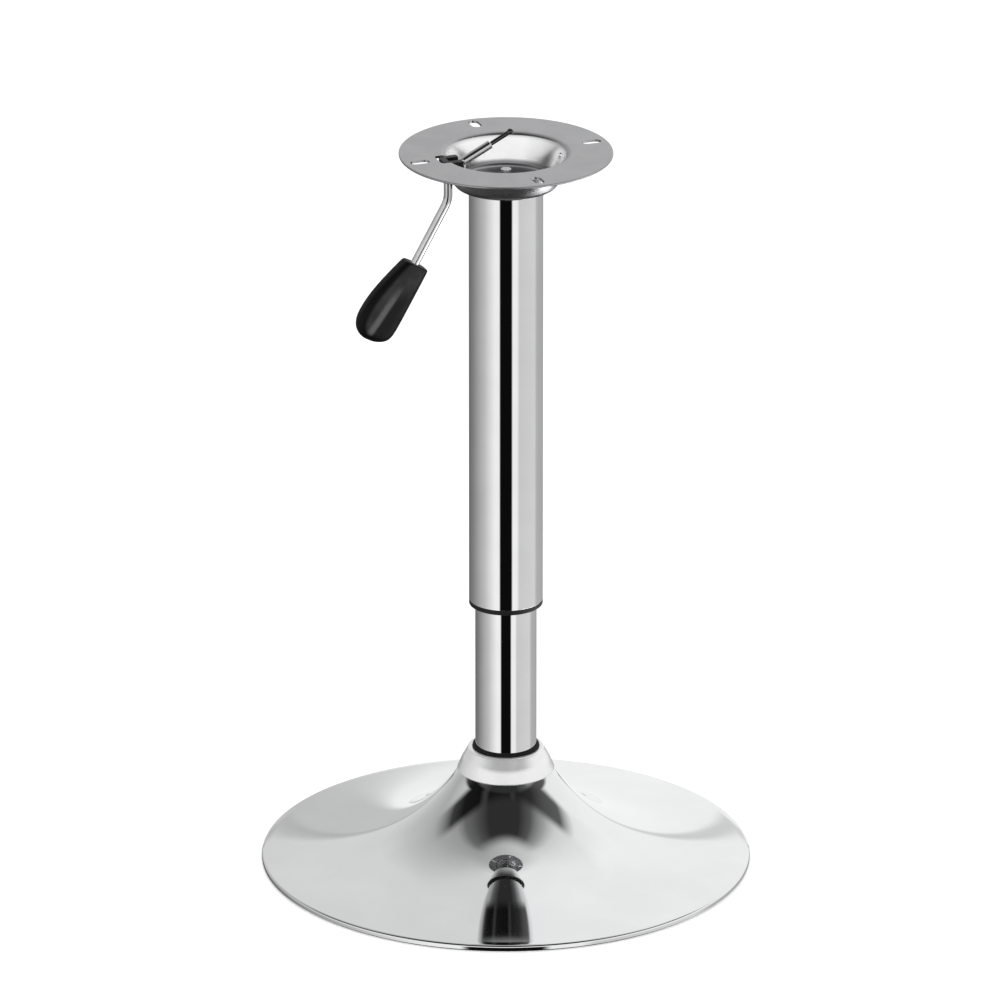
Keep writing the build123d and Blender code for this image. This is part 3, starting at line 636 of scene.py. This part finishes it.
barSteps = []  # (place along the bar behind the tip's centre, radius)
for part in range(1, 12):
    angle = math.radians(90 - part * 12.2)
    barSteps.append((-rod["tipRadius"] * math.sin(angle), rod["tipRadius"] * math.cos(angle)))
barSteps[-1] = (math.sqrt(rod["tipRadius"] ** 2 - rod["noseRadius"] ** 2) + 0.1, rod["noseRadius"])
barSteps += [(rod["noseLength"] - 0.2, rod["noseRadius"]), (rod["noseLength"], rod["noseRadius"] + 0.25),
             (rod["noseLength"], rod["radius"] - 0.5), (rod["noseLength"] + 0.5, rod["radius"])]
for along, radius in barSteps:
    nextCentre = tipCentre - towardTip * along
    pushRing(nextCentre - ringCentre, radius / ringRadius, nextCentre)
    ringCentre, ringRadius = nextCentre, radius


def bendBar(corner, before, after, bend, start):
    into, out = (corner - before).normalized(), (after - corner).normalized()
    turn = into.angle(out)
    reach = bend * math.tan(turn / 2)
    begin = corner - into * reach
    side = (out - into * out.dot(into)).normalized()
    centre = begin + side * bend
    pushRing(begin - start)
    sense = into.cross(out).y
    bpy.ops.mesh.spin(steps=14, angle=-turn if sense > 0 else turn, center=centre * mm, axis=(0, 1, 0))
    return corner + out * reach


ringCentre = bendBar(kneePoint, nosePoint, dropPoint, rod["bends"][0], ringCentre)
ringCentre = bendBar(dropPoint, kneePoint, endPoint, rod["bends"][1], ringCentre)
pushRing(endPoint - ringCentre)
bpy.ops.mesh.edge_face_add()
tidyMesh(leverRod, 40.0, 0.02)
cutAway(leverRod, addPeg(rod["pinBore"], 12.0, pivot, alongY, 32))
pickOnly(leverRod)
bpy.ops.object.shade_smooth_by_angle(angle=math.radians(40))
fitPiece(leverRod, "lever", "lever_rod", chromeLever)

# Handle: a moulded paddle lofted along the rod's axis, straight inside and bellied outside.
handle = {
    "top": (-77.565, 526.04), "fall": 60.5,
    # distance from the top, outer side, inner side, half thickness
    "slices": [(0.0, -9.1, 11.3, 8.4), (1.5, -10.0, 11.6, 9.0), (12.0, -13.8, 11.7, 9.0), (26.0, -18.4, 11.8, 9.0),
               (40.0, -21.8, 11.8, 9.0), (52.0, -23.0, 11.7, 9.0), (60.0, -22.5, 11.3, 8.9), (66.0, -19.8, 9.6, 8.4),
               (70.0, -16.0, 4.0, 7.0), (72.2, -11.0, -3.5, 3.6)],
}
standAlone()
bpy.ops.mesh.primitive_plane_add(size=2 * mm)
paddle = bpy.context.object
paddle.name = paddle.data.name = "handlePaddle"
bpy.ops.object.mode_set(mode="EDIT")
bpy.ops.mesh.select_all(action="SELECT")
bpy.ops.mesh.bevel(offset=0.62 * mm, segments=4, affect="VERTICES")
bpy.ops.mesh.select_all(action="SELECT")
lastSpot, lastMiddle, lastWidth, lastDepth = 0.0, 0.0, 1.0, 1.0
for spot, outer, innerEdge, thick in handle["slices"]:
    middle, width = (outer + innerEdge) / 2, (innerEdge - outer) / 2
    if spot:
        bpy.ops.mesh.extrude_region_move(TRANSFORM_OT_translate={"value": (0, 0, -(spot - lastSpot) * mm)})
    bpy.ops.transform.translate(value=((middle - lastMiddle) * mm, 0, 0))
    bpy.ops.transform.resize(
        value=(width / lastWidth, thick / lastDepth, 1), center_override=(middle * mm, 0, -spot * mm))
    lastSpot, lastMiddle, lastWidth, lastDepth = spot, middle, width, thick
bpy.ops.object.mode_set(mode="OBJECT")
paddle.rotation_euler = (0, math.radians(90 - handle["fall"]), 0)
paddle.location = inPlane(handle["top"]) * mm
bpy.ops.object.transform_apply(location=True, rotation=True)
tidyMesh(paddle, 60.0)
smooth = paddle.modifiers.new("smooth", "SUBSURF")
smooth.levels = smooth.render_levels = 2
bpy.ops.object.modifier_apply(modifier=smooth.name)
fitPiece(paddle, "lever", "lever_handle", handlePlastic)
leverRod.visible_glossy = paddle.visible_glossy = False  # kept out of the reflections in the tube and foot

# Studio: floor, lamps, sky and camera.
studio = {
    "azimuth": -20.0, "pitch": 21.0, "distance": 9.0, "lens": 400.0, "aim": (-0.0048, 0.3125),
    "skyLevel": 0.7, "floorTone": 0.82, "floorGlow": 0.45,
}
turn, pitch = math.radians(studio["azimuth"]), math.radians(studio["pitch"])
rightward = Vector((math.cos(turn), math.sin(turn), 0.0))
toward = Vector((math.sin(turn), -math.cos(turn), 0.0))

standAlone()
bpy.ops.mesh.primitive_circle_add(vertices=96, radius=14.0, fill_type="NGON", location=(0, 0, -0.0002))
floor = bpy.context.object
floor.name = "studioFloor"
bpy.ops.object.transform_apply(location=True)
floorPaint, graph = newMaterial("studioFloorPaint")
where = place(graph)
tone = graph.mix(graph.noise(where, 3.0).reach(0.3, 0.7), rgb(studio["floorTone"]), rgb(studio["floorTone"] + 0.02))
paint = graph.node("ShaderNodeBsdfDiffuse", None, {"Color": tone})
glow = graph.node("ShaderNodeEmission", None, {"Color": rgb(1.0), "Strength": studio["floorGlow"]})
lit = graph.node("ShaderNodeAddShader", None, {0: paint, 1: glow})
seen = graph.node("ShaderNodeLightPath", out="Is Camera Ray")
finish = graph.node("ShaderNodeMixShader", None, {0: seen, 1: paint, 2: lit})
graph.node("ShaderNodeOutputMaterial", None, {"Surface": finish})
floor.data.materials.append(floorPaint)
floor.visible_glossy = False


def addLamp(name, spot, size, watts):
    standAlone()
    bpy.ops.object.light_add(type="AREA", location=spot)
    lamp = bpy.context.object
    lamp.name = name
    lamp.data.energy = watts
    lamp.data.size = size
    lamp.rotation_euler = (Vector((0, 0, 0.3)) - Vector(spot)).to_track_quat("-Z", "Y").to_euler()
    return lamp


def lampSpot(bearingAngle, climbAngle, away):
    angle, up = math.radians(bearingAngle), math.radians(climbAngle)
    flat = toward * math.cos(angle) + rightward * math.sin(angle)
    return (flat * math.cos(up) + Vector((0, 0, math.sin(up)))) * away + Vector((0, 0, 0.3))


lamps = {"frontLamp": (15, 20, 1.1, 14.0), "sideLamp": (-62, 20, 1.2, 9.0), "topLamp": (150, 62, 1.4, 9.0)}
lampDistance = 2.6
for lampName, (bearingAngle, climbAngle, size, watts) in lamps.items():
    lamp = addLamp(lampName, lampSpot(bearingAngle, climbAngle, lampDistance), size, watts)
    lamp.visible_glossy = False  # the mirrored studio comes from the sky below

# The sky that glossy rays see, unlike the white that the camera sees: bands of level by bearing and climb.
world = bpy.data.worlds.new("studioSky")
bpy.context.scene.world = world
world.use_nodes = True
sky = Graph(world.node_tree)
direction = sky.node("ShaderNodeTexCoord", out="Generated")
towardPart = sky.node("ShaderNodeVectorMath", {"operation": "DOT_PRODUCT"}, {0: direction, 1: toward}, out="Value")
rightPart = sky.node("ShaderNodeVectorMath", {"operation": "DOT_PRODUCT"}, {0: direction, 1: rightward}, out="Value")
heightPart = sky.node("ShaderNodeSeparateXYZ", None, {0: direction}, out="Z")
bearing = rightPart.maths("ARCTAN2", towardPart) * (0.5 / math.pi) + 0.5
climb = heightPart.maths("ARCSINE") * (180.0 / math.pi)


def bearingRamp(stops):  # degrees right of the camera, level
    placed = [(degrees / 360 + 0.5, level) for degrees, level in stops]
    return sky.node("ShaderNodeValToRGB", {"stops": placed}, {0: bearing})


lowBand = bearingRamp([
    (-180, 0.2), (-150, 0.17), (-125, 0.24), (-106, 0.34), (-70, 0.58), (-35, 1.0), (-21, 1.0), (-17.5, 0.004),
    (17.5, 0.004), (21, 1.0), (35, 1.0), (42, 0.68), (100, 0.74), (112, 0.5), (150, 0.44), (180, 0.3)])
middleBand = bearingRamp([
    (-180, 0.75), (-160, 0.73), (-145, 0.58), (-125, 0.46), (-100, 0.62), (-70, 0.85), (-35, 1.0), (60, 1.0),
    (100, 0.95), (150, 0.98), (180, 0.97)])
upperBand = bearingRamp([
    (-180, 0.75), (-160, 0.76), (-145, 0.6), (-126, 0.46), (-106, 0.05), (-90, 0.01), (-62, 0.006), (-50, 0.05),
    (-40, 0.008), (8, 0.006), (16, 0.05), (26, 0.015), (60, 0.03), (85, 0.09), (106, 0.12), (122, 0.88), (150, 1.0),
    (180, 0.93)])
highBand = bearingRamp([
    (-180, 0.75), (-165, 0.74), (-140, 0.56), (-115, 0.42), (-98, 0.36), (-84, 0.16), (-62, 0.08), (-40, 0.03),
    (30, 0.03), (55, 0.1), (80, 0.38), (98, 0.7), (117, 0.8), (145, 0.92), (180, 0.95)])
overhead = sky.mix(rightPart.reach(-0.3, 0.3), rgb(0.4), rgb(0.68))
nadir = rgb(0.04)
lowest = sky.mix(climb.reach(-45.0, -31.0), nadir, lowBand)
lowToMiddle = sky.mix(climb.reach(-9.0, -3.0), lowest, middleBand)
# the dark gap straight in front goes on up to level
stripe = (1.0 - climb.reach(0.5, 3.0)) * climb.reach(-12.0, -9.0) * towardPart.reach(0.945, 0.957)
lowToMiddle = sky.mix(stripe, lowToMiddle, rgb(0.004))
upToHigh = sky.mix(climb.reach(42.0, 50.0), upperBand, highBand)
upToTop = sky.mix(climb.reach(70.0, 82.0), upToHigh, overhead)
aroundSky = sky.mix(climb.reach(24.0, 31.0), lowToMiddle, upToTop)
# a bright box low on the right
lowBox = climb.reach(-46.0, -41.0) * (1.0 - climb.reach(-29.0, -25.0)) * rightPart.reach(0.6, 0.72)
aroundSky = sky.mix(lowBox, aroundSky, rgb(4.5))
# the studio's bright end wall, a round patch straight behind the object with a darker edge
away = 0.0 - towardPart
leftShade = (climb * 0.0625 - rightPart * 10.0).reach(0.9, 1.6)
wallLeft = sky.mix(leftShade, rgb(0.97), rgb(0.6))
wallTone = sky.mix(rightPart.reach(-0.02, 0.02), wallLeft, rgb(1.0))
edgeShade = away.reach(0.926, 0.932) - away.reach(0.936, 0.942)
walled = sky.mix(away.reach(0.93, 0.938), aroundSky, wallTone)
mirrored = sky.mix(edgeShade * 0.45, walled, rgb(0.35))
path = sky.node("ShaderNodeLightPath")
glossy, direct, through = (
    Wire(sky, path.socket.node.outputs[name]) for name in ("Is Glossy Ray", "Is Camera Ray", "Is Transmission Ray"))
plainSky = sky.node("ShaderNodeBackground", None, {"Color": rgb(1.0), "Strength": studio["skyLevel"]})
mirrorSky = sky.node("ShaderNodeBackground", None, {"Color": mirrored, "Strength": 1.0})
whiteSky = sky.node("ShaderNodeBackground", None, {"Color": rgb(1.0), "Strength": 1.0})
lightSky = sky.node("ShaderNodeMixShader", None, {0: glossy, 1: plainSky, 2: mirrorSky})
seenSky = sky.node("ShaderNodeMixShader", None, {0: direct.maths("MAXIMUM", through), 1: lightSky, 2: whiteSky})
sky.node("ShaderNodeOutputWorld", None, {"Surface": seenSky})
bpy.context.scene.view_settings.view_transform = "Standard"
print("studio ready")

cameraData = bpy.data.cameras.new("studioCamera")
camera = bpy.data.objects.new("studioCamera", cameraData)
bpy.context.scene.collection.objects.link(camera)
cameraData.lens = studio["lens"]
cameraData.sensor_width = 36.0
cameraData.clip_start, cameraData.clip_end = 0.5, 60.0
aim = rightward * studio["aim"][0] + Vector((0, 0, studio["aim"][1]))
back = toward * math.cos(pitch) + Vector((0, 0, math.sin(pitch)))
camera.location = aim + back * studio["distance"]
camera.rotation_euler = (-back).to_track_quat("-Z", "Y").to_euler()
bpy.context.scene.camera = camera
